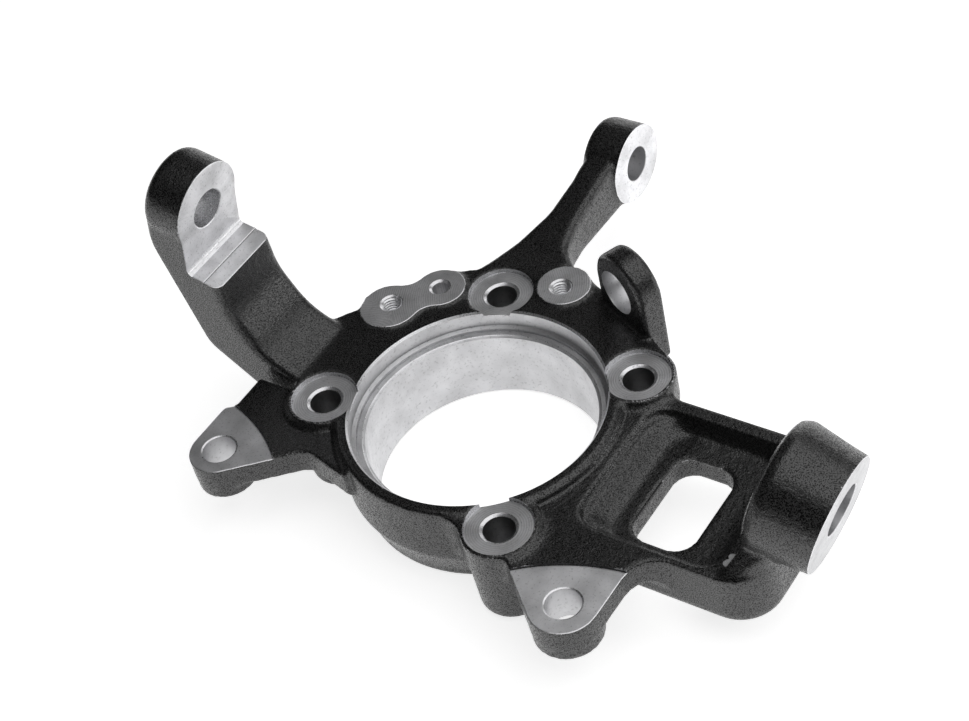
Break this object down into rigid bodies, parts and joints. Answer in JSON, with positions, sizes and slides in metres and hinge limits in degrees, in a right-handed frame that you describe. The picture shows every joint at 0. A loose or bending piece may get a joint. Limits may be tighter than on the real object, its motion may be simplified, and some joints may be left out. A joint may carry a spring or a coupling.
{
  "type": "steering knuckle",
  "caption": "Cast iron steering knuckle: bearing ring with hub bolt bosses, caliper ears, upper and steering arms, upright tab and a windowed web to the lower ball joint boss.",
  "frame": {"origin": "on the wheel bearing's axis, in the plane of the milled faces that the hub bolts clamp", "axes": "+Z along the bearing axis towards the middle of the vehicle, +Y up to the upper ball joint, +X along the steering arm"},
  "size_m": [0.2419, 0.288, 0.1254],
  "materials": {
    "casting": "black paint over a cast grain, with bare milled and bored faces"
  },
  "bodies": {
    "root": {"knuckle_casting": "casting"}
  },
  "joints": []
}
